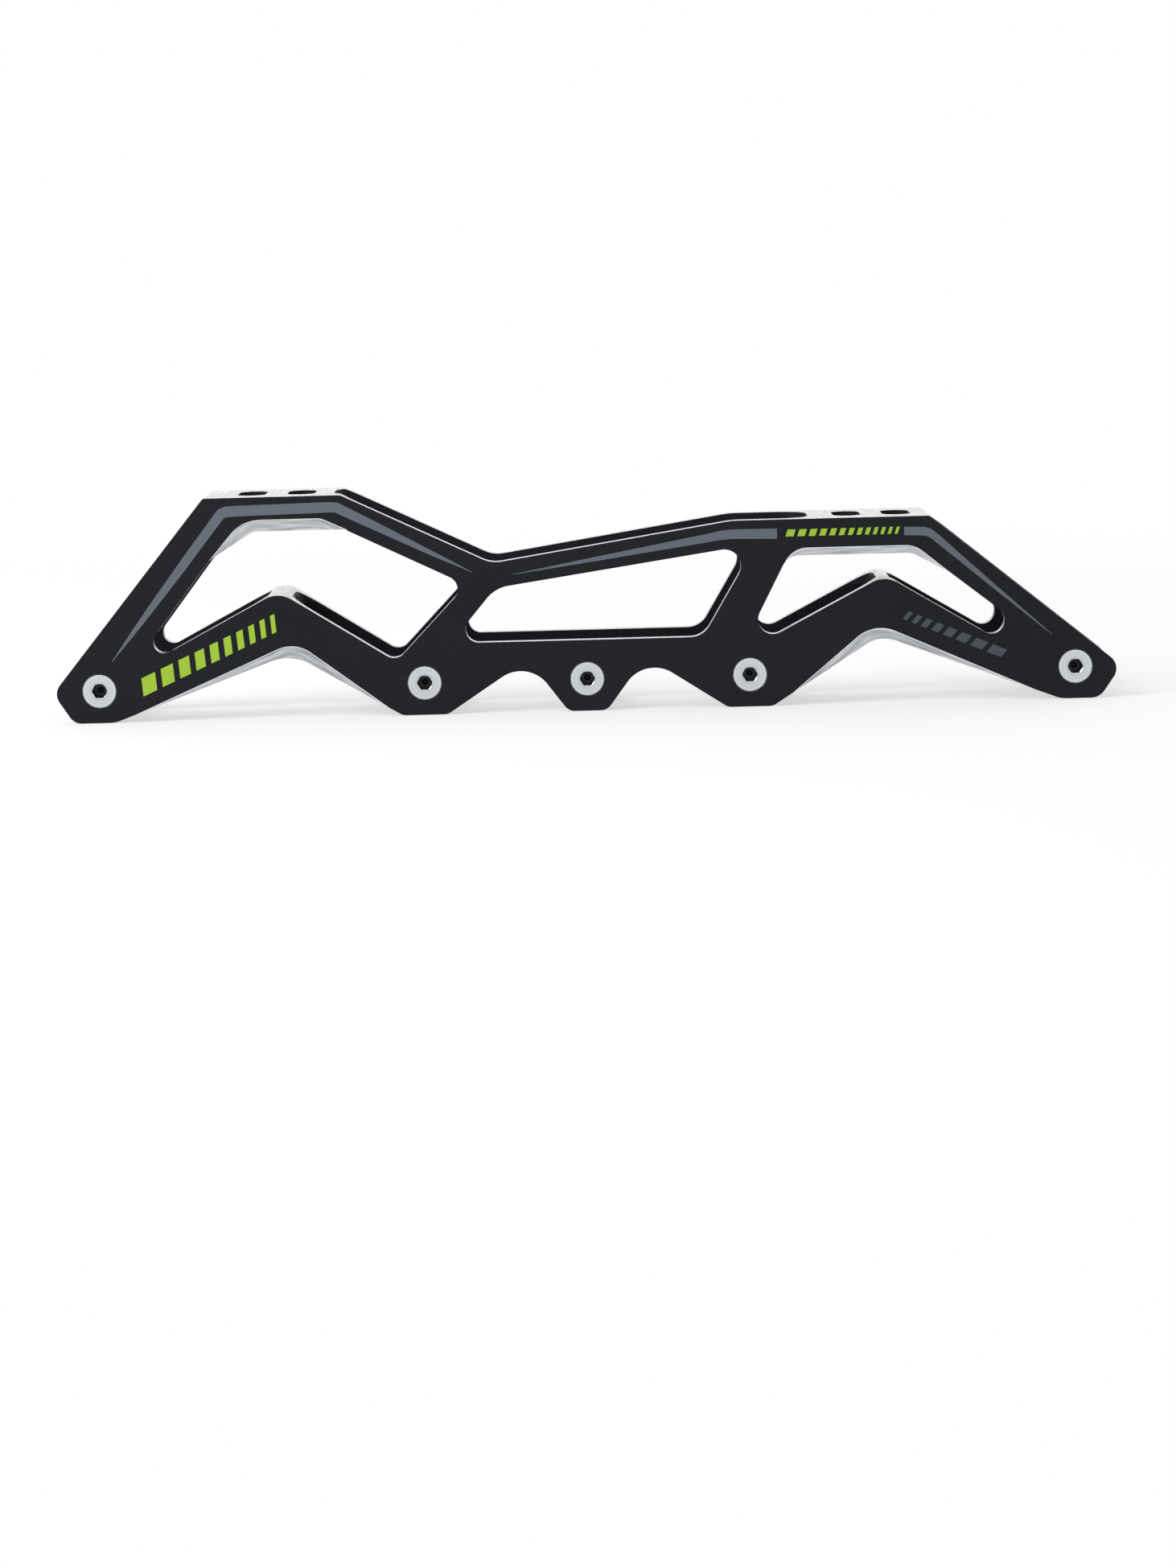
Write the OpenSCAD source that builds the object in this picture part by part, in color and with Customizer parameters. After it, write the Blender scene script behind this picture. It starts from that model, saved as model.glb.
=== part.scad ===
// Inline skate frame: one machined aluminium body and five screw-in steel axles.
// +X points to the toe, +Y to the threaded wall, +Z up. The feet of the lugs stand on Z = 0.
// Side-view points are [x, z], with z counted from the axle line.

/* [Wheelbase] */
// Distance between the two end axles (11.6 inch)
wheelbase = 294.64; // [285:0.01:305]
// Height of the axle line above the feet of the lugs
axle_h = 9.7; // [8.5:0.1:11]

/* [Cross-section] */
// Gap between two facing bosses, filled by a wheel hub
hub_gap = 24; // [22:0.1:28]
// Height of a conical boss on the inside of a wall
boss_h = 1.45; // [0.6:0.05:2.5]
// Diameter of a boss at its tip
boss_tip_d = 11; // [10:0.1:13]
// Diameter of a boss at its root
boss_root_d = 17; // [15:0.1:18]
// Thickness of each side wall
wall_t = 3.9; // [3:0.1:5]

/* [Axles] */
// Diameter of the plain shaft, the bore of a skate bearing
shaft_d = 8; // [7:0.01:9]
// Diameter over the drawn thread
thread_d = 6; // [5:0.01:6.5]
// Pitch of the thread
thread_pitch = 1; // [0.7:0.05:1.25]
// Depth of the drawn thread
thread_depth = 0.3; // [0.2:0.05:0.4]
// Length of the bare neck between shaft and far boss
neck_l = 2.1; // [1.5:0.1:3]
// Diameter of the conical head at its face
head_d = 9.9; // [9.4:0.1:11]
// Width of the hexagon socket across flats
socket_af = 4; // [3:0.5:5]
// Depth of the hexagon socket
socket_depth = 4; // [3:0.1:6]
// Depth of the chamfer at the socket's mouth
socket_lead = 0.3; // [0.1:0.05:0.5]
// Radial clearance of shaft and thread in their holes
run_clear = 0.06; // [0.02:0.01:0.1]
// Distance by which head and thread end sit below the walls
flush_gap = 0.15; // [0:0.05:0.5]
// Chamfer on the ends of the shaft and in the mouth of the threaded hole
axle_chamfer = 0.5; // [0.3:0.05:0.8]

/* [Boot mount] */
// Distance between the two outer mounting slots
mount_span = 195; // [190:0.5:200]
// Distance between the two slots in one platform
slot_pitch = 15; // [13:0.5:17]
// Middle of the slot pattern from the middle of the wheelbase
mount_shift = -2.7; // [-4:0.1:2]
// Width of a slot
slot_w = 8.4; // [6.5:0.1:9]
// Length of a slot across the frame
slot_l = 18.1; // [14:0.1:20]

/* [Platforms] */
// Top of the heel platform above the axle line
heel_top = 57.3; // [55:0.1:60]
// Top of the toe platform above the axle line
toe_top = 46.6; // [45:0.1:49]
// Thickness of the platforms
platform_t = 5; // [4:0.1:6]
// Platform beyond its outer slot, heel and toe
platform_out = [14.2, 12.6]; // [9:0.1:17]
// Platform beyond its inner slot, heel and toe
platform_in = [10, 11.9]; // [8:0.1:14]
// Plan fillet from a platform into the walls, inner end
fillet_in = 8.5; // [5:0.1:10]
// Plan fillet from a platform into the walls, outer end
fillet_out = 3.5; // [2:0.1:5]

/* [Bridges] */
// Length of a V bridge along the frame, heel and toe
bridge_l = [7.2, 3.9]; // [3:0.1:8]
// Depth of a V bridge below the apex of the V, heel and toe
bridge_t = [6.5, 5.4]; // [4.5:0.1:7]
// Plan fillet from a bridge into the walls
bridge_fillet = 7; // [4:0.1:8]

/* [Facets] */
// Tilt of the bare milled facets against the wall
facet_tilt = 13; // [10:0.5:16]
// Height of the facet above the lower V edge at the apex, heel and toe
v_facet = [3.7, 4]; // [3:0.1:5]
// Height of the facet under the platform, heel and toe
platform_facet = [3.5, 2.3]; // [2:0.1:4]

/* [Lugs and struts] */
// Half length of the foot under the second and fourth axle
foot_half = 6.75; // [5.5:0.05:7.5]
// Half length of the foot under the middle axle
mid_foot_half = 5.8; // [5:0.05:7]
// Foot of an end lug, outwards from its axle, heel and toe
end_foot_out = [7.9, 7.2]; // [6:0.1:8.5]
// Foot of an end lug, inwards from its axle
end_foot_in = 4.4; // [3:0.1:6]
// Point of an end lug, outwards from its axle
end_reach = 13.9; // [12:0.05:15]
// Top of the sharp arch between the middle lugs: distance from centre and height
arch = [17.8, 6.3]; // [4:0.1:20]
// Apex of the lower edge of the heel V
heel_v_low = [-89.1, 9.9]; // [-92:0.1:12]
// Apex of the lower edge of the toe V
toe_v_low = [88.6, 10.9]; // [9:0.1:92]
// Apex of the upper edge of the heel V
heel_v = [-92.3, 28.8]; // [-94:0.1:31]
// Apex of the upper edge of the toe V
toe_v = [90.3, 29]; // [27:0.1:93]
// Sill of the middle window above the axle line
sill = 11.8; // [10:0.05:13]
// Height of the wall above the window under the heel platform
heel_band = 10.3; // [8:0.1:11]
// Height of the wall above the window under the toe platform
toe_band = 11; // [9:0.1:12]
// Outer corner of the heel platform
heel_corner_x = -114; // [-118:0.1:-113]
// Inner corner of the heel platform
heel_knee_x = -72.8; // [-76:0.1:-70]
// Valley between heel and toe in the top edge
valley = [-27.9, 35.65]; // [-31:0.1:38]
// Inner corner of the toe top edge
toe_knee_x = 44.6; // [42:0.1:48]
// Outer corner of the toe platform
toe_corner_x = 104; // [103:0.1:109]

/* [Hidden] */
$fn = 64;
// Angle between two points on a rounded corner
arc_step = 5;
// Length by which a cutter runs past the face that it cuts
past = 1;
axle_x = [-wheelbase/2, -wheelbase/6, 0, wheelbase/6, wheelbase/2];
inner_half = hub_gap/2 + boss_h;
outer_half = inner_half + wall_t;
bore_d = shaft_d + 2*run_clear;
tapped_d = thread_d + 2*run_clear;
head_h = (head_d - shaft_d)/2;
slot_x_heel = mount_shift - mount_span/2;
slot_x_toe = mount_shift + mount_span/2;

// Outer outline, anticlockwise from the heel foot, each point [x, z, corner radius]
outline = [
    [axle_x[0] - end_foot_out[0], -axle_h, 4.5],
    [axle_x[0] + end_foot_in, -axle_h, 10],
    [heel_v_low[0], heel_v_low[1], 14],
    [axle_x[1] - foot_half, -axle_h, 4.2],
    [axle_x[1] + foot_half, -axle_h, 4.2],
    [-arch[0], arch[1], 10],
    [-mid_foot_half, -axle_h, 4],
    [mid_foot_half, -axle_h, 4],
    [arch[0], arch[1], 10],
    [axle_x[3] - foot_half, -axle_h, 4.2],
    [axle_x[3] + foot_half, -axle_h, 4.2],
    [toe_v_low[0], toe_v_low[1], 10],
    [axle_x[4] - end_foot_in, -axle_h, 10],
    [axle_x[4] + end_foot_out[1], -axle_h, 5],
    [axle_x[4] + end_reach, -0.1, 4.5],
    [toe_corner_x, toe_top, 2],
    [toe_knee_x, toe_top, 25],
    [valley[0], valley[1], 10],
    [heel_knee_x, heel_top, 3],
    [heel_corner_x, heel_top, 1],
    [axle_x[0] - end_reach, -0.4, 4.5],
];

// Windows in the walls, anticlockwise from the lower heel-side corner
heel_window = [
    [axle_x[0] + 8, 4.2, 3.4],
    [heel_v[0], heel_v[1], 8],
    [axle_x[1] - 8.3, 6.7, 4],
    [valley[0] - 7.75, valley[1] - 6.3, 4],
    [heel_knee_x + 1, heel_top - heel_band, 3],
    [heel_corner_x + 14.7, heel_top - heel_band, 6],
    [heel_corner_x + 1.4, heel_top - heel_band - 8.2, 8],
];
centre_window = [
    [axle_x[1] + 8.2, sill, 4],
    [axle_x[3] - 13.9, sill, 7],
    [toe_knee_x + 7.1, toe_top - 7.2, 5],
    [valley[0] + 0.9, valley[1] - 7.5, 10.5],
];
toe_window = [
    [axle_x[3] - 3.2, 6.15, 4.5],
    [toe_v[0], toe_v[1], 8],
    [axle_x[4] - 23.9, 9.1, 4.1],
    [axle_x[4] - 19.9, 15.6, 4.1],
    [toe_corner_x + 5.7, toe_top - toe_band - 6.1, 8],
    [toe_corner_x - 5.6, toe_top - toe_band, 6],
    [toe_corner_x - 42.8, toe_top - toe_band, 5],
];

// Borders of the bare facets, from toe to heel with the open side on the left, each point [x, z, corner radius]
heel_v_facet = [
    [axle_x[1] - foot_half - 4, -7.3, 0],
    [heel_v_low[0] + 1.3, heel_v_low[1] + v_facet[0], 10],
    [axle_x[0] + 10, -7.7, 0],
];
toe_v_facet = [
    [axle_x[4] - 12, -6.85, 0],
    [toe_v_low[0] - 1.7, toe_v_low[1] + v_facet[1], 11],
    [axle_x[3] + foot_half + 4, -7.6, 0],
];
heel_facet_z = heel_top - heel_band + platform_facet[0];
heel_top_facet = [
    [heel_knee_x + 2, heel_facet_z - 3.7, 0],
    [heel_knee_x - 6, heel_facet_z, 5],
    [heel_corner_x + 11.5, heel_facet_z, 12],
    [heel_corner_x + 1.2, heel_facet_z - 12, 0],
];
toe_facet_z = toe_top - toe_band + platform_facet[1];
toe_top_facet = [
    [toe_corner_x + 6.2, toe_facet_z - 8.8, 0],
    [toe_corner_x - 4.6, toe_facet_z, 8.5],
    [toe_corner_x - 41.6, toe_facet_z, 7.8],
    [toe_corner_x - 45.8, toe_facet_z - 8.6, 0],
];

function xz(p) = [p[0], p[1]];
function unit(v) = v / norm(v);
function left_of(v) = [-v[1], v[0]];
function at(list, i) = list[(i + len(list)) % len(list)];
function way_in(list, i) = unit(xz(list[i]) - xz(at(list, i - 1)));
function way_out(list, i) = unit(xz(at(list, i + 1)) - xz(list[i]));
// Turn at corner i in degrees, positive to the left
function turn(list, i) =
    let (a = way_in(list, i), b = way_out(list, i))
    atan2(a[0]*b[1] - a[1]*b[0], a*b);
// Distance from corner i to the start of its arc, at most 0.49 of the shorter edge beside it
function run_in(list, i) =
    min(list[i][2] * abs(tan(turn(list, i)/2)),
        0.49 * norm(xz(list[i]) - xz(at(list, i - 1))),
        0.49 * norm(xz(at(list, i + 1)) - xz(list[i])));
// Points of the arc at corner i, moved to its left by shift
function arc(list, i, shift = 0) =
    let (bend = turn(list, i), radius = run_in(list, i) / abs(tan(bend/2)),
         start = xz(list[i]) - run_in(list, i) * way_in(list, i),
         out = -sign(bend) * left_of(way_in(list, i)),
         middle = start - radius * out, steps = max(1, ceil(abs(bend)/arc_step)))
    [for (k = [0:steps])
        let (angle = atan2(out[1], out[0]) + bend*k/steps)
        middle + (radius - sign(bend)*shift) * [cos(angle), sin(angle)]];
// Polygon with round corners
function rounded(list) = [for (i = [0:len(list) - 1]) each arc(list, i)];
// Open line with round corners, moved to its left by shift
function rounded_line(list, shift) =
    let (last = len(list) - 1)
    concat([xz(list[0]) + shift * left_of(way_out(list, 0))],
           [for (i = [1:last - 1]) each arc(list, i, shift)],
           [xz(list[last]) + shift * left_of(way_in(list, last))]);

// Side view of the whole body
module side_view() {
    difference() {
        polygon(rounded(outline));
        polygon(rounded(heel_window));
        polygon(rounded(centre_window));
        polygon(rounded(toe_window));
    }
}

// Concave fillet in plan from an end at x into the wall at y > 0; dir says where the end looks
function plan_fillet(x, r, dir) = concat(
    [for (angle = [0:10:80]) [x + dir*r*(1 - cos(angle)), inner_half - r*(1 - sin(angle))]],
    [[x + dir*r, inner_half + 0.05], [x + dir*r, inner_half + past]]);
function mirror_y(list) = [for (i = [len(list) - 1:-1:0]) [list[i][0], -list[i][1]]];

// Cross web between the walls, from x_from to x_to and z_from to z_to
module web(x_from, x_to, z_from, z_to, r_from, r_to) {
    half = concat(plan_fillet(x_to, r_to, 1),
                  [for (p = mirror_y(plan_fillet(x_from, r_from, -1))) [p[0], -p[1]]]);
    translate([0, 0, z_from]) linear_extrude(z_to - z_from) polygon(concat(half, mirror_y(half)));
}

module platforms() {
    web(slot_x_heel - platform_out[0], slot_x_heel + slot_pitch + platform_in[0],
        heel_top - platform_t, heel_top + past, fillet_out, fillet_in);
    web(slot_x_toe - slot_pitch - platform_in[1], slot_x_toe + platform_out[1],
        toe_top - platform_t, toe_top + past, fillet_in, fillet_out);
}

module bridges() {
    for (i = [0, 1])
        let (apex = [heel_v, toe_v][i])
        web(apex[0] - bridge_l[i]/2, apex[0] + bridge_l[i]/2,
            apex[1] - bridge_t[i], apex[1] + past, bridge_fillet, bridge_fillet);
}

// Conical bosses round the axle holes, sunk into the walls by past
module bosses() {
    flare = (boss_root_d - boss_tip_d)/boss_h;
    for (x = axle_x, side = [-1, 1])
        translate([x, side*(inner_half + past), 0]) rotate([side*90, 0, 0])
            cylinder(h = boss_h + past, d1 = boss_root_d + past*flare, d2 = boss_tip_d);
}

// Space between the walls, with the webs and bosses left standing
module bay() {
    reach = wheelbase/2 + end_reach + past;
    difference() {
        translate([-reach, -inner_half, -axle_h - past])
            cube([2*reach, 2*inner_half, axle_h + heel_top + 2*past]);
        platforms();
        bridges();
        bosses();
    }
}

// Slots across the platforms for the boot's bolts
module slots() {
    for (x = [slot_x_heel, slot_x_heel + slot_pitch, slot_x_toe - slot_pitch, slot_x_toe])
        translate([x, 0, toe_top - platform_t - past])
            linear_extrude(heel_top - toe_top + platform_t + 2*past) union() {
                square([slot_w, slot_l - slot_w], center = true);
                for (side = [-1, 1]) translate([0, side*(slot_l - slot_w)/2]) circle(d = slot_w);
            }
}

// Hole along Y with a chamfer: a bore from y_from to y_to and a 45 degree cone that opens towards mouth_y
module chamfered_hole(d, y_from, y_to, mouth_y, mouth_d) {
    dir = sign(mouth_y - (y_from + y_to)/2);
    depth = (mouth_d - d)/2 + past;
    translate([0, y_to, 0]) rotate([90, 0, 0]) cylinder(h = y_to - y_from, d = d);
    translate([0, mouth_y - dir*depth, 0]) rotate([-dir*90, 0, 0])
        cylinder(h = depth + past, d1 = mouth_d - 2*depth, d2 = mouth_d + 2*past);
}

// Plain bore and conical seat in the -Y wall, threaded hole in the +Y wall
module axle_holes() {
    for (x = axle_x) translate([x, 0, 0]) {
        chamfered_hole(bore_d, -outer_half - past, -hub_gap/2 + past, -outer_half,
                       head_d + 2*flush_gap + 2*run_clear);
        chamfered_hole(tapped_d, hub_gap/2 - past, outer_half + past, hub_gap/2, tapped_d + 2*axle_chamfer);
    }
}

// Cutter for a tilted facet beside a border, in side-view axes with z outwards from the wall
module facet_cutter(border, width) {
    height = wall_t;
    high = rounded_line(border, -past);
    low = rounded_line(border, width);
    n = len(high);
    slope = tan(facet_tilt);
    points = concat([for (p = high) [p[0], p[1], past*slope]], [for (p = low) [p[0], p[1], -width*slope]],
                    [for (p = low) [p[0], p[1], height]], [for (p = high) [p[0], p[1], height]]);
    sides = [for (k = [0:3], i = [0:n - 2])
        let (a = k*n, b = ((k + 1) % 4)*n) [a + i, a + i + 1, b + i + 1, b + i]];
    ends = [[0, n, 2*n, 3*n], [4*n - 1, 3*n - 1, 2*n - 1, n - 1]];
    polyhedron(points, concat(sides, ends));
}

module facets() {
    for (side = [0, 1]) mirror([0, side, 0]) translate([0, -outer_half, 0]) rotate([90, 0, 0]) {
        facet_cutter(heel_v_facet, v_facet[0] + 1.5);
        facet_cutter(toe_v_facet, v_facet[1] + 1.5);
        facet_cutter(heel_top_facet, platform_facet[0] + 1);
        facet_cutter(toe_top_facet, platform_facet[1] + 1);
    }
}

module frame() {
    color("#26282c") translate([0, 0, axle_h]) difference() {
        translate([0, outer_half, 0]) rotate([90, 0, 0]) linear_extrude(2*outer_half) side_view();
        bay();
        slots();
        axle_holes();
        facets();
    }
}

// Half profile of an axle, [radius, place along it from the head's face]
module axle_profile() {
    shaft_end = outer_half - flush_gap + hub_gap/2 - neck_l;
    axle_l = 2*(outer_half - flush_gap);
    root_r = thread_d/2 - thread_depth;
    turns = floor((axle_l - shaft_end - neck_l)/thread_pitch);
    thread_from = axle_l - turns*thread_pitch;
    polygon(concat(
        [[0, 0], [head_d/2, 0], [shaft_d/2, head_h],
         [shaft_d/2, shaft_end - axle_chamfer], [shaft_d/2 - axle_chamfer, shaft_end],
         [thread_d/2, shaft_end], [thread_d/2, thread_from]],
        [for (i = [0:turns - 1]) each
            [[root_r, thread_from + (i + 0.5)*thread_pitch],
             [i == turns - 1 ? root_r : thread_d/2, thread_from + (i + 1)*thread_pitch]]],
        [[0, axle_l]]));
}

// Hexagon socket with a lead-in chamfer at its mouth and a drill point at its bottom
module socket() {
    corners_d = socket_af/cos(30);
    translate([0, 0, -past]) {
        cylinder(h = socket_depth + past, d = corners_d, $fn = 6);
        cylinder(h = past + socket_lead, d1 = corners_d + 2*past, d2 = corners_d - 2*socket_lead);
    }
    translate([0, 0, socket_depth - past]) cylinder(h = past + socket_af/4, d1 = 0.95*socket_af, d2 = 0);
}

// Axle at place i, its head in the -Y wall
module axle(i) {
    color("#c6c9cd") translate([axle_x[i], -outer_half + flush_gap, axle_h]) rotate([-90, 0, 0]) difference() {
        rotate_extrude() axle_profile();
        socket();
    }
}

frame();
axle(0);  // axle_1
axle(1);  // axle_2
axle(2);  // axle_3
axle(3);  // axle_4
axle(4);  // axle_5
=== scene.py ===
import math

import bmesh
import bpy
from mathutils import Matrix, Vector


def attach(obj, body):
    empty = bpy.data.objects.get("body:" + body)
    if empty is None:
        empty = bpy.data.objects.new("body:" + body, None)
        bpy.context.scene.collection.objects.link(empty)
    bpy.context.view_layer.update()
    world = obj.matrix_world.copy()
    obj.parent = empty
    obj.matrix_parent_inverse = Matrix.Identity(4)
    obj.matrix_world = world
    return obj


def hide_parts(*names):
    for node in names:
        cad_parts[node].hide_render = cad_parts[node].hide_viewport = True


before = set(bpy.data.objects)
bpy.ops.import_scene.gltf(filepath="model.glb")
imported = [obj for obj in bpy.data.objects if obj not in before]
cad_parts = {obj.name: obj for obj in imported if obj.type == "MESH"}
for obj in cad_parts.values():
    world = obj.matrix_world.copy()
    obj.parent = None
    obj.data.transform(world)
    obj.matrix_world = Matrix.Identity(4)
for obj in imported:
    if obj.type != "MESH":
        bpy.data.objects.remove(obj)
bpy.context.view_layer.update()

MM = 0.001
# Main sizes of the frame, in mm and degrees, as in the part's source
AXLE_LINE = 9.7
WHEELBASE = 294.64
AXLE_STEP = WHEELBASE / 6
AXLE_PLACES = [AXLE_STEP * step for step in (-3, -1, 0, 1, 3)]
WALL_FACE = 17.35
FACET_TILT = 13
HEAD_GAP = 0.15
# Space that holds an axle's key socket, in mm: from its mouth to behind its floor, and its radius
SOCKET_LEAD = 0.3
SOCKET_REACH = 6
SOCKET_RADIUS = 2.6
# Round on the deburred edges, in mm, and the turn in degrees past which an edge is deburred
FRAME_DEBURR = 0.15
FRAME_CORNER = 35
AXLE_DEBURR = 0.1
AXLE_CORNER = 40
# Turn between two faces up to which they shade as one, in degrees
SMOOTH_TURN = 22
# Ink film, in mm
INK_THICKNESS = 0.05
# Range that holds nearly all values of a noise
NOISE_LOW = 0.3
NOISE_HIGH = 0.7


def linear(hex_colour):
    """sRGB hex colour as linear red, green, blue and alpha."""
    shares = [int(hex_colour[i:i + 2], 16) / 255 for i in (1, 3, 5)]
    return [s / 12.92 if s <= 0.04045 else ((s + 0.055) / 1.055) ** 2.4 for s in shares] + [1]


def add(tree, kind, links=(), **settings):
    """Add a node, with its settings, input values and links: (input name or number, output socket)."""
    node = tree.nodes.new(kind)
    inputs = settings.pop("inputs", {})
    for key, value in settings.items():
        setattr(node, key, value)
    for key, value in inputs.items():
        node.inputs[key].default_value = value
    for key, socket in links:
        tree.links.new(socket, node.inputs[key])
    return node


def new_material(name):
    material = bpy.data.materials.new(name)
    material.use_nodes = True
    material.node_tree.nodes.clear()
    return material, material.node_tree


# Materials

def black_anodised_aluminium(name, grain_size, bump_strength, roughness):
    """Aluminium dyed black under a thin hard oxide skin: a dark satin that keeps the marks of the tool
    or the blast. grain_size is the length of these marks along X, Y and Z in mm, roughness is its range."""
    material, tree = new_material(name)
    place = add(tree, "ShaderNodeTexCoord").outputs["Object"]
    marks = add(tree, "ShaderNodeMapping", [("Vector", place)],
                inputs={"Scale": [1 / (size * MM) for size in grain_size]})
    grain = add(tree, "ShaderNodeTexNoise", [("Vector", marks.outputs["Vector"])],
                inputs={"Scale": 1, "Detail": 3, "Roughness": 0.6})
    # Cloudy dye, in patches of about 25 mm
    cloud = add(tree, "ShaderNodeTexNoise", [("Vector", place)],
                inputs={"Scale": 1 / (25 * MM), "Detail": 2})
    both = add(tree, "ShaderNodeMix", [("Factor", cloud.outputs["Fac"])], data_type="RGBA",
               inputs={"A": linear("#191B1F"), "B": linear("#212429")})
    speck = add(tree, "ShaderNodeMapRange", [("Value", grain.outputs["Fac"])],
                inputs={"From Min": NOISE_LOW, "From Max": NOISE_HIGH, "To Min": 0.75, "To Max": 1.25})
    colour = add(tree, "ShaderNodeVectorMath",
                 [("Vector", both.outputs["Result"]), ("Scale", speck.outputs[0])], operation="SCALE")
    rough = add(tree, "ShaderNodeMapRange", [("Value", grain.outputs["Fac"])],
                inputs={"From Min": NOISE_LOW, "From Max": NOISE_HIGH,
                        "To Min": roughness[0], "To Max": roughness[1]})
    bump = add(tree, "ShaderNodeBump", [("Height", grain.outputs["Fac"])],
               inputs={"Strength": bump_strength, "Distance": 0.05 * MM})
    surface = add(tree, "ShaderNodeBsdfPrincipled",
                  [("Base Color", colour.outputs["Vector"]), ("Roughness", rough.outputs[0]),
                   ("Normal", bump.outputs["Normal"])],
                  inputs={"IOR": 1.5, "Specular IOR Level": 0.12})
    add(tree, "ShaderNodeOutputMaterial", [("Surface", surface.outputs["BSDF"])])
    return material


def bare_milled_aluminium_with_painted_highlight():
    """Facets cut after the dyeing: bright bare aluminium with fine cutter lines along each facet's border,
    and a painted highlight, a near-white line where the facet meets the dyed wall."""
    material, tree = new_material("bare_milled_aluminium_with_painted_highlight")
    place = add(tree, "ShaderNodeTexCoord").outputs["Object"]
    # A facet sinks evenly from its border, so that lines of equal depth follow it. Cutter lines are about
    # 0.05 mm apart; drawn 0.5 mm apart and 12 mm long so that they show
    line_depth = 0.5 * math.sin(math.radians(FACET_TILT))
    lines = add(tree, "ShaderNodeMapping", [("Vector", place)],
                inputs={"Scale": [1 / (12 * MM), 1 / (line_depth * MM), 1 / (12 * MM)]})
    streak = add(tree, "ShaderNodeTexNoise", [("Vector", lines.outputs["Vector"])],
                 inputs={"Scale": 1, "Detail": 3, "Roughness": 0.6})
    spread = add(tree, "ShaderNodeMapRange", [("Value", streak.outputs["Fac"])],
                 inputs={"From Min": NOISE_LOW, "From Max": NOISE_HIGH})
    cut = add(tree, "ShaderNodeMix", [("Factor", spread.outputs[0])], data_type="RGBA",
              inputs={"A": linear("#8C8F94"), "B": linear("#DADCDF")})
    # Painted highlight: a near-white line 0.3 mm wide along the facet's upper border, where the wall's edge
    # catches the light
    highlight_depth = 0.3 * math.sin(math.radians(FACET_TILT))
    part = add(tree, "ShaderNodeSeparateXYZ", [("Vector", place)])
    out = add(tree, "ShaderNodeMath", [(0, part.outputs["Y"])], operation="ABSOLUTE")
    painted_highlight = add(tree, "ShaderNodeMapRange", [("Value", out.outputs[0])],
                  inputs={"From Min": (WALL_FACE - highlight_depth) * MM, "From Max": WALL_FACE * MM})
    # The painted highlight's near-white colour is laid over the cut colour here
    colour = add(tree, "ShaderNodeMix", [("Factor", painted_highlight.outputs[0]), ("A", cut.outputs["Result"])],
                 data_type="RGBA", inputs={"B": linear("#F4F5F6")})
    rough = add(tree, "ShaderNodeMapRange", [("Value", streak.outputs["Fac"])],
                inputs={"From Min": NOISE_LOW, "From Max": NOISE_HIGH, "To Min": 0.3, "To Max": 0.4})
    bump = add(tree, "ShaderNodeBump", [("Height", streak.outputs["Fac"])],
               inputs={"Strength": 0.15, "Distance": 0.05 * MM})
    surface = add(tree, "ShaderNodeBsdfPrincipled",
                  [("Base Color", colour.outputs["Result"]), ("Roughness", rough.outputs[0]),
                   ("Normal", bump.outputs["Normal"])],
                  inputs={"Metallic": 1})
    add(tree, "ShaderNodeOutputMaterial", [("Surface", surface.outputs["BSDF"])])
    return material


def turned_steel():
    """Hardened steel, turned and polished: bright, with fine rings round each axle and on its head."""
    material, tree = new_material("turned_steel")
    place = add(tree, "ShaderNodeTexCoord").outputs["Object"]
    part = add(tree, "ShaderNodeSeparateXYZ", [("Vector", place)])
    # All axles stand a whole number of steps apart, so that one wrapped X centres the rings on each
    across = add(tree, "ShaderNodeMath", [(0, part.outputs["X"])], operation="WRAP",
                 inputs={1: AXLE_STEP / 2 * MM, 2: -AXLE_STEP / 2 * MM})
    up = add(tree, "ShaderNodeMath", [(0, part.outputs["Z"])], operation="SUBTRACT",
             inputs={1: AXLE_LINE * MM})
    spoke = add(tree, "ShaderNodeCombineXYZ", [("X", across.outputs[0]), ("Z", up.outputs[0])])
    radius = add(tree, "ShaderNodeVectorMath", [("Vector", spoke.outputs["Vector"])], operation="LENGTH")
    # Turning rings are about 0.05 mm apart; drawn 0.3 mm apart so that they show
    profile = add(tree, "ShaderNodeCombineXYZ", [("X", radius.outputs["Value"]), ("Y", part.outputs["Y"])])
    ring = add(tree, "ShaderNodeTexNoise", [("Vector", profile.outputs["Vector"])],
               inputs={"Scale": 1 / (0.3 * MM), "Detail": 2})
    spread = add(tree, "ShaderNodeMapRange", [("Value", ring.outputs["Fac"])],
                 inputs={"From Min": NOISE_LOW, "From Max": NOISE_HIGH})
    colour = add(tree, "ShaderNodeMix", [("Factor", spread.outputs[0])], data_type="RGBA",
                 inputs={"A": linear("#BCBFC4"), "B": linear("#D8DBDF")})
    bump = add(tree, "ShaderNodeBump", [("Height", ring.outputs["Fac"])],
               inputs={"Strength": 0.06, "Distance": 0.03 * MM})
    surface = add(tree, "ShaderNodeBsdfPrincipled",
                  [("Base Color", colour.outputs["Result"]), ("Normal", bump.outputs["Normal"])],
                  inputs={"Metallic": 1, "Roughness": 0.16})
    add(tree, "ShaderNodeOutputMaterial", [("Surface", surface.outputs["BSDF"])])
    return material


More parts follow.
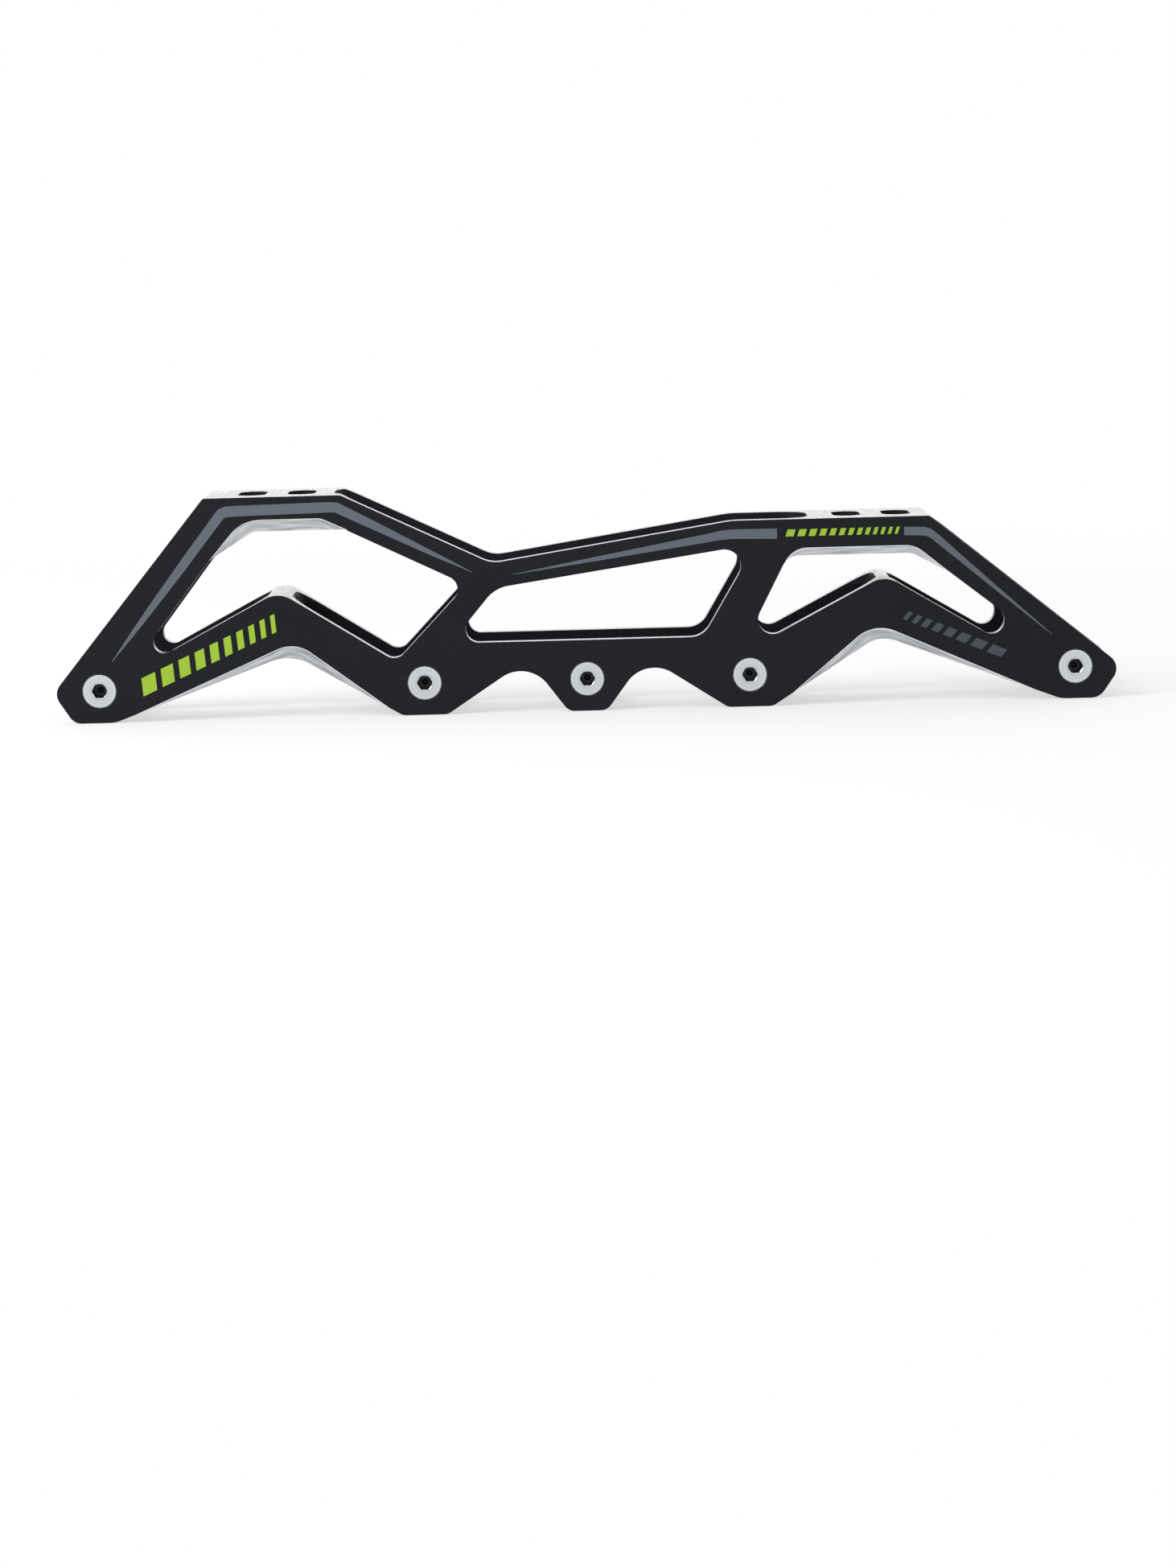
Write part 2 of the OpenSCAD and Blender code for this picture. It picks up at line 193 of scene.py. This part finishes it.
def socket_steel_painted_shade():
    """Inside of a key socket: steel left rough by the broach, with painted shade: its colour is dark grey
    to stand in for the shade deep in the socket.
    """
    material, tree = new_material("socket_steel_with_painted_shade")
    place = add(tree, "ShaderNodeTexCoord").outputs["Object"]
    # Broach lines are about 0.05 mm apart; drawn 0.3 mm apart and 3 mm long so that they show
    lines = add(tree, "ShaderNodeMapping", [("Vector", place)],
                inputs={"Scale": [1 / (0.3 * MM), 1 / (3 * MM), 1 / (0.3 * MM)]})
    line = add(tree, "ShaderNodeTexNoise", [("Vector", lines.outputs["Vector"])],
               inputs={"Scale": 1, "Detail": 2})
    # Painted shade: dark grey steel colours that stand in for the shade inside the socket
    colour = add(tree, "ShaderNodeMix", [("Factor", line.outputs["Fac"])], data_type="RGBA",
                 inputs={"A": linear("#2B2B2C"), "B": linear("#434446")})
    bump = add(tree, "ShaderNodeBump", [("Height", line.outputs["Fac"])],
               inputs={"Strength": 0.3, "Distance": 0.05 * MM})
    surface = add(tree, "ShaderNodeBsdfPrincipled",
                  [("Base Color", colour.outputs["Result"]), ("Normal", bump.outputs["Normal"])],
                  inputs={"Metallic": 1, "Roughness": 0.45})
    add(tree, "ShaderNodeOutputMaterial", [("Surface", surface.outputs["BSDF"])])
    return material


def screen_ink(name, dark, light):
    """Screen printed ink: a thin matt film with a faintly uneven colour."""
    material, tree = new_material(name)
    place = add(tree, "ShaderNodeTexCoord").outputs["Object"]
    # Mesh marks of the screen are about 0.1 mm; drawn at 0.5 mm so that they show
    film = add(tree, "ShaderNodeTexNoise", [("Vector", place)],
               inputs={"Scale": 1 / (0.5 * MM), "Detail": 2})
    colour = add(tree, "ShaderNodeMix", [("Factor", film.outputs["Fac"])], data_type="RGBA",
                 inputs={"A": linear(dark), "B": linear(light)})
    bump = add(tree, "ShaderNodeBump", [("Height", film.outputs["Fac"])],
               inputs={"Strength": 0.08, "Distance": 0.03 * MM})
    surface = add(tree, "ShaderNodeBsdfPrincipled",
                  [("Base Color", colour.outputs["Result"]), ("Normal", bump.outputs["Normal"])],
                  inputs={"Roughness": 0.5, "Specular IOR Level": 0.3})
    add(tree, "ShaderNodeOutputMaterial", [("Surface", surface.outputs["BSDF"])])
    return material


# Modelling

# Points of a CAD mesh that are closer than this are one, and faces thinner than this go, in mm
SAME_POINT = 0.03
SLIVER = 0.01
# Turn between two triangles of one flat face, in degrees
FLAT_TURN = 0.5
# Points of a finished piece that are closer than this are one, in mm
SAME_CORNER = 0.0005


def only(piece):
    """Make this piece the only selected one, and the active one."""
    bpy.ops.object.select_all(action="DESELECT")
    piece.select_set(True)
    bpy.context.view_layer.objects.active = piece


def merged_copy(node, name):
    """Copy a CAD node, with its loose triangles merged into flat faces."""
    piece = bpy.data.objects.new(name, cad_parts[node].data.copy())
    bpy.context.scene.collection.objects.link(piece)
    piece.data.materials.clear()
    only(piece)
    bpy.ops.object.mode_set(mode="EDIT")
    bpy.ops.mesh.select_all(action="SELECT")
    bpy.ops.mesh.remove_doubles(threshold=SAME_POINT * MM)
    bpy.ops.mesh.dissolve_degenerate(threshold=SLIVER * MM)
    bpy.ops.mesh.dissolve_limited(angle_limit=math.radians(FLAT_TURN))
    bpy.ops.object.mode_set(mode="OBJECT")
    return piece


def break_edges(piece, width, corner):
    """Round the edges that turn by more than corner, in degrees, by a width in mm, as deburring does."""
    only(piece)
    bevel = piece.modifiers.new("deburr", "BEVEL")
    bevel.width = width * MM
    bevel.segments = 2
    bevel.limit_method = "ANGLE"
    bevel.angle_limit = math.radians(corner)
    bpy.ops.object.modifier_apply(modifier=bevel.name)
    bpy.ops.object.mode_set(mode="EDIT")
    bpy.ops.mesh.select_all(action="SELECT")
    bpy.ops.mesh.remove_doubles(threshold=SAME_CORNER * MM)
    bpy.ops.object.mode_set(mode="OBJECT")


def keep_flats(piece):
    """Give the round edges all of the shading's turn, so that the flat faces stay flat."""
    only(piece)
    weigh = piece.modifiers.new("keep_flats", "WEIGHTED_NORMAL")
    weigh.keep_sharp = True
    bpy.ops.object.modifier_apply(modifier=weigh.name)


# Slots of the frame's finishes, and of an axle's
BLASTED_SLOT = 0
BARE_SLOT = 1
MILLED_SLOT = 2
TURNED_SLOT = 0
# Slot of the socket's steel with painted shade
PAINTED_SHADE_SLOT = 1
# How far a facet's lean may differ from the tilt, in degrees, and how deep a facet goes, in mm
LEAN_ROOM = 1
FACET_DEPTH = 2
# Largest sideways share of the normal of an edge milled across the wall
MILLED_SHARE = 0.3


def is_facet(face):
    """True for a face that leans by the facets' tilt on the outside of a wall."""
    lean = math.degrees(math.acos(min(1, abs(face.normal.y))))
    return abs(lean - FACET_TILT) < LEAN_ROOM and abs(face.center.y) > (WALL_FACE - FACET_DEPTH) * MM


def frame_finish(face):
    """Slot of the finish that a face of the frame has."""
    if is_facet(face):
        return BARE_SLOT
    return MILLED_SLOT if abs(face.normal.y) < MILLED_SHARE else BLASTED_SLOT


def frame_body(blasted, bare, milled):
    """Dress the body: deburred edges, and the finish that each face has."""
    body = merged_copy("frame", "frame_body")
    break_edges(body, FRAME_DEBURR, FRAME_CORNER)
    for material in (blasted, bare, milled):
        body.data.materials.append(material)
    bpy.ops.object.shade_smooth_by_angle(angle=math.radians(SMOOTH_TURN))
    for face in body.data.polygons:
        face.material_index = frame_finish(face)
        face.select = face.material_index == BARE_SLOT
    bpy.ops.object.mode_set(mode="EDIT")
    bpy.ops.mesh.select_mode(type="FACE")
    bpy.ops.mesh.region_to_loop()
    bpy.ops.mesh.mark_sharp()
    bpy.ops.mesh.select_mode(type="VERT")
    bpy.ops.object.mode_set(mode="OBJECT")
    keep_flats(body)
    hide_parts("frame")
    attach(body, "frame")


def in_socket(face, axle_x):
    """True for a face inside the key socket of the axle at axle_x, in mm."""
    place = face.center / MM
    depth = place.y + WALL_FACE - HEAD_GAP
    off_axis = math.hypot(place.x - axle_x, place.z - AXLE_LINE)
    return SOCKET_LEAD < depth < SOCKET_REACH and off_axis < SOCKET_RADIUS


def steel_axle(number, axle_x, turned, socket_painted_shade):
    """Dress one axle: deburred edges, turned outside, a socket left rough by the broach and given painted
    shade.
    """
    node = "axle_%d" % number
    axle = merged_copy(node, node + "_turned")
    break_edges(axle, AXLE_DEBURR, AXLE_CORNER)
    axle.data.materials.append(turned)
    axle.data.materials.append(socket_painted_shade)
    bpy.ops.object.shade_smooth_by_angle(angle=math.radians(SMOOTH_TURN))
    for face in axle.data.polygons:
        # Faces inside the socket take the steel with painted shade
        face.material_index = PAINTED_SHADE_SLOT if in_socket(face, axle_x) else TURNED_SLOT
    keep_flats(axle)
    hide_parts(node)
    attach(axle, node)


def move_vertices(piece, targets):
    """Move single vertices of a piece in edit mode: targets gives a place for each vertex number."""
    only(piece)
    bpy.ops.object.mode_set(mode="EDIT")
    mesh = bmesh.from_edit_mesh(piece.data)
    mesh.verts.ensure_lookup_table()
    for number, target in targets.items():
        bpy.ops.mesh.select_all(action="DESELECT")
        mesh.verts[number].select_set(True)
        bpy.ops.transform.translate(value=Vector(target) - mesh.verts[number].co)
    bpy.ops.object.mode_set(mode="OBJECT")


def ink_film(name, stations, ink):
    """Lay a strip of ink on the outside of the near wall. Each station is an upper and a lower point,
    [x, z] in mm from the frame's middle and the axle line."""
    bpy.ops.object.select_all(action="DESELECT")
    bpy.ops.mesh.primitive_grid_add(x_subdivisions=len(stations) - 1, y_subdivisions=1, size=1)
    strip = bpy.context.object
    strip.name = name
    rows = sorted(range(len(strip.data.vertices)), key=lambda i: tuple(strip.data.vertices[i].co[:2]))
    targets = {}
    for k, (upper, lower) in enumerate(stations):
        for number, (x, z) in ((rows[2 * k], lower), (rows[2 * k + 1], upper)):
            targets[number] = (x * MM, -WALL_FACE * MM, (z + AXLE_LINE) * MM)
    move_vertices(strip, targets)
    bpy.ops.object.mode_set(mode="EDIT")
    bpy.ops.mesh.select_all(action="SELECT")
    bpy.ops.mesh.remove_doubles(threshold=SAME_CORNER * MM)
    bpy.ops.object.mode_set(mode="OBJECT")
    if strip.data.polygons[0].normal.y > 0:
        bpy.ops.object.mode_set(mode="EDIT")
        bpy.ops.mesh.flip_normals()
        bpy.ops.object.mode_set(mode="OBJECT")
    film = strip.modifiers.new("film", "SOLIDIFY")
    film.thickness = INK_THICKNESS * MM
    # Most of the film lies outside the wall's face, the rest in it
    film.offset = 0.6
    bpy.ops.object.modifier_apply(modifier=film.name)
    strip.data.materials.append(ink)
    return strip


def far_copy(strip, name):
    """Copy a strip of ink to the other wall."""
    copy = bpy.data.objects.new(name, strip.data.copy())
    bpy.context.scene.collection.objects.link(copy)
    only(copy)
    bpy.ops.object.mode_set(mode="EDIT")
    bpy.ops.mesh.select_all(action="SELECT")
    bpy.ops.transform.resize(value=(1, -1, 1), center_override=(0, 0, 0))
    bpy.ops.mesh.normals_make_consistent(inside=False)
    bpy.ops.object.mode_set(mode="OBJECT")
    return copy


def print_on_walls(name, stations, ink):
    """Print a strip of ink on the near wall and on the far wall."""
    near = ink_film(name + "_near", stations, ink)
    far = far_copy(near, name + "_far")
    for strip in (near, far):
        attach(strip, "frame")


# Trim stripes, [upper point, lower point] from heel to toe
HEEL_STRIPE = [
    [[-143.2, 8.9], [-143.1, 8.8]],
    [[-136.4, 18.5], [-136.4, 16.4]],
    [[-131.6, 25.1], [-131.6, 22]],
    [[-120, 40.5], [-120, 36]],
    [[-112.3, 50.4], [-112.3, 45.7]],
    [[-110.7, 52.5], [-108.7, 50.2]],
    [[-109.6, 53.8], [-107.9, 51.2]],
    [[-107.7, 54.7], [-107, 51.5]],
    [[-104.5, 54.9], [-104.5, 51.7]],
    [[-76, 55.3], [-76, 52.2]],
    [[-73.6, 55.1], [-74.6, 52.2]],
    [[-64, 50], [-64, 47.1]],
    [[-44.8, 39.4], [-44.8, 37.9]],
    [[-39.9, 36.7], [-39.9, 35.8]],
    [[-33.7, 33.1], [-33.7, 33]],
]
MIDDLE_STRIPE = [
    [[-22, 32.1], [-22, 32]],
    [[3.5, 36.8], [3.5, 35.5]],
    [[37.3, 42.85], [37.3, 40.3]],
    [[40.9, 43.6], [40.9, 40.8]],
    [[44.5, 43.95], [44.5, 41.1]],
    [[58.1, 43.9], [58.1, 40.8]],
]
TOE_STRIPE = [
    [[96.3, 43.4], [96.2, 40.9]],
    [[100, 43.35], [100, 40.75]],
    [[102.4, 43.2], [102.4, 40.6]],
    [[103.9, 42.8], [103.9, 40.1]],
    [[104.8, 42.35], [104.8, 39.4]],
    [[107.2, 40.3], [107.2, 37.35]],
    [[112.1, 35.7], [112.1, 33.3]],
    [[124.1, 24.7], [124.1, 23.2]],
    [[140.4, 9.9], [140.3, 9.8]],
]
# Lean of a bar's ends: sideways run for each mm of height
BAR_LEAN = 0.35


def hatch(start, turn, height, first, ratio, count, gap):
    """Stations of a row of slanted bars from start, [x, z] in mm, turned by degrees. The bars' lengths
    begin with first and grow or shrink by ratio."""
    c, s = math.cos(math.radians(turn)), math.sin(math.radians(turn))

    def at(along, up):
        return [start[0] + along * c - up * s, start[1] + along * s + up * c]

    bars = []
    begin = 0
    for number in range(count):
        end = begin + first * ratio ** number
        lean = BAR_LEAN * height
        bars.append([[at(begin + lean, height), at(begin, 0)], [at(end + lean, height), at(end, 0)]])
        begin = end + gap
    return bars


# Scene

# Strength of the room's light on the object, from the front and from behind
FRONT_LIGHT = 0.2
BACK_LIGHT = 1
# Y share of the light's direction where it starts and ends to grow from front to back
GROW_START = -0.9
GROW_END = 0.1
# Floor in metres: its size, and the distances where it starts and ends to fade into the backdrop
FLOOR_SIZE = 2.4
FADE_START = 0.25
FADE_END = 0.7
# Own glow of the floor, which keeps it pale in the shadow
FLOOR_GLOW = 0.56


def put_camera():
    """Camera of the upper view: 1.28 m away, slightly above, slightly rolled."""
    data = bpy.data.cameras.new("camera")
    data.sensor_width = 36
    data.lens = 96.97
    data.clip_start = 0.01
    data.clip_end = 50
    camera = bpy.data.objects.new("camera", data)
    camera.location = (0.00173, -1.28387, 0.15196)
    camera.rotation_euler = [math.radians(a) for a in (82.1617, 1.4798, -0.0973)]
    bpy.context.scene.collection.objects.link(camera)
    bpy.context.scene.camera = camera


def seen(tree):
    """1 for a camera, glossy or transmission ray, 0 for the rest."""
    path = add(tree, "ShaderNodeLightPath")
    first = add(tree, "ShaderNodeMath",
                [(0, path.outputs["Is Camera Ray"]), (1, path.outputs["Is Glossy Ray"])],
                operation="MAXIMUM")
    either = add(tree, "ShaderNodeMath",
                 [(0, first.outputs[0]), (1, path.outputs["Is Transmission Ray"])], operation="MAXIMUM")
    return either.outputs[0]


def white_room():
    """White backdrop. Its light on the object is brightest from behind and above and dim from the front."""
    world = bpy.data.worlds.new("white_room")
    bpy.context.scene.world = world
    world.use_nodes = True
    tree = world.node_tree
    tree.nodes.clear()
    way = add(tree, "ShaderNodeTexCoord").outputs["Generated"]
    part = add(tree, "ShaderNodeSeparateXYZ", [("Vector", way)])
    front = add(tree, "ShaderNodeMapRange", [("Value", part.outputs["Y"])], interpolation_type="SMOOTHSTEP",
                inputs={"From Min": GROW_START, "From Max": GROW_END,
                        "To Min": FRONT_LIGHT, "To Max": BACK_LIGHT})
    strength = add(tree, "ShaderNodeMix", [("Factor", seen(tree)), ("A", front.outputs[0])],
                   data_type="FLOAT", inputs={"B": 1})
    light = add(tree, "ShaderNodeBackground", [("Strength", strength.outputs["Result"])],
                inputs={"Color": linear("#FFFFFF")})
    add(tree, "ShaderNodeOutputWorld", [("Surface", light.outputs["Background"])])


def pale_floor():
    """Matt pale floor that keeps the object's shadow and fades into the backdrop further out. It is clear
    from below, so that the underside can be looked at."""
    bpy.ops.object.select_all(action="DESELECT")
    bpy.ops.mesh.primitive_plane_add(size=FLOOR_SIZE)
    floor = bpy.context.object
    floor.name = "floor"
    material, tree = new_material("pale_floor")
    matt = add(tree, "ShaderNodeBsdfDiffuse", inputs={"Color": linear("#989898")})
    watched = seen(tree)
    glow = add(tree, "ShaderNodeEmission", [("Strength", watched)],
               inputs={"Color": [FLOOR_GLOW] * 3 + [1]})
    near = add(tree, "ShaderNodeAddShader", [(0, matt.outputs["BSDF"]), (1, glow.outputs["Emission"])])
    place = add(tree, "ShaderNodeTexCoord").outputs["Object"]
    distance = add(tree, "ShaderNodeVectorMath", [("Vector", place)], operation="LENGTH")
    fade = add(tree, "ShaderNodeMapRange", [("Value", distance.outputs["Value"])],
               interpolation_type="SMOOTHSTEP", inputs={"From Min": FADE_START, "From Max": FADE_END})
    far = add(tree, "ShaderNodeMath", [(0, fade.outputs[0]), (1, watched)], operation="MULTIPLY")
    white = add(tree, "ShaderNodeEmission", inputs={"Color": linear("#FFFFFF")})
    top = add(tree, "ShaderNodeMixShader",
              [(0, far.outputs[0]), (1, near.outputs["Shader"]), (2, white.outputs["Emission"])])
    clear = add(tree, "ShaderNodeBsdfTransparent")
    below = add(tree, "ShaderNodeNewGeometry").outputs["Backfacing"]
    sided = add(tree, "ShaderNodeMixShader",
                [(0, below), (1, top.outputs["Shader"]), (2, clear.outputs["BSDF"])])
    add(tree, "ShaderNodeOutputMaterial", [("Surface", sided.outputs["Shader"])])
    floor.data.materials.append(material)


def lamp(name, place, aim, size, watts):
    """Soft rectangular lamp of a size in metres that points at aim."""
    data = bpy.data.lights.new(name, "AREA")
    data.shape = "RECTANGLE"
    data.size, data.size_y = size
    data.energy = watts
    light = bpy.data.objects.new(name, data)
    bpy.context.scene.collection.objects.link(light)
    light.location = place
    way = [a - p for a, p in zip(aim, place)]
    yaw = math.atan2(way[1], way[0])
    pitch = math.atan2(math.hypot(way[0], way[1]), -way[2])
    light.rotation_euler = (pitch, 0, yaw - math.pi / 2)
    light.visible_camera = False


# Bead blast pits are about 0.1 mm; drawn at 0.5 mm so that they show
blasted = black_anodised_aluminium("bead_blasted_black_anodised_aluminium", grain_size=(0.5, 0.5, 0.5),
                                   bump_strength=0.12, roughness=(0.3, 0.4))
# Side milling leaves lines across the wall about 0.1 mm apart; drawn 0.6 mm apart and 15 mm long
milled = black_anodised_aluminium("milled_black_anodised_aluminium", grain_size=(0.6, 15, 0.6),
                                  bump_strength=0.03, roughness=(0.27, 0.35))
bare = bare_milled_aluminium_with_painted_highlight()
turned = turned_steel()
# Socket steel with painted shade
socket_painted_shade = socket_steel_painted_shade()
grey_ink = screen_ink("grey_screen_ink", "#646C75", "#6C747F")
dim_ink = screen_ink("dim_grey_screen_ink", "#4A505A", "#525862")
green_ink = screen_ink("green_screen_ink", "#AAD23C", "#B1DA44")

frame_body(blasted, bare, milled)
for number, axle_x in enumerate(AXLE_PLACES, 1):
    steel_axle(number, axle_x, turned, socket_painted_shade)
for name, stripe in (("heel", HEEL_STRIPE), ("middle", MIDDLE_STRIPE), ("toe", TOE_STRIPE)):
    print_on_walls(name + "_stripe", stripe, grey_ink)
heel_bars = hatch(start=[-134, -1.9], turn=24.4, height=5.2, first=4.6, ratio=0.88, count=10, gap=1.9)
toe_bars = hatch(start=[95.4, 15.7], turn=-22.8, height=2.8, first=1.3, ratio=1.2, count=8, gap=1.5)
top_bars = hatch(start=[60.6, 41.4], turn=0, height=2.1, first=2.4, ratio=0.92, count=13, gap=1.15)
for name, bars, ink in (("green_bar", heel_bars, green_ink), ("grey_bar", toe_bars, dim_ink),
                        ("size_tick", top_bars, green_ink)):
    for number, stations in enumerate(bars, 1):
        print_on_walls("%s_%d" % (name, number), stations, ink)

put_camera()
white_room()
pale_floor()
lamp("back_panel", place=(0, 1.6, 0.45), aim=(0, 0, 0.05), size=(3, 0.8), watts=15)
lamp("top_panel", place=(-0.95, -0.6, 0.9), aim=(0, 0, 0.03), size=(1, 0.8), watts=20)
bpy.context.scene.view_settings.view_transform = "Standard"
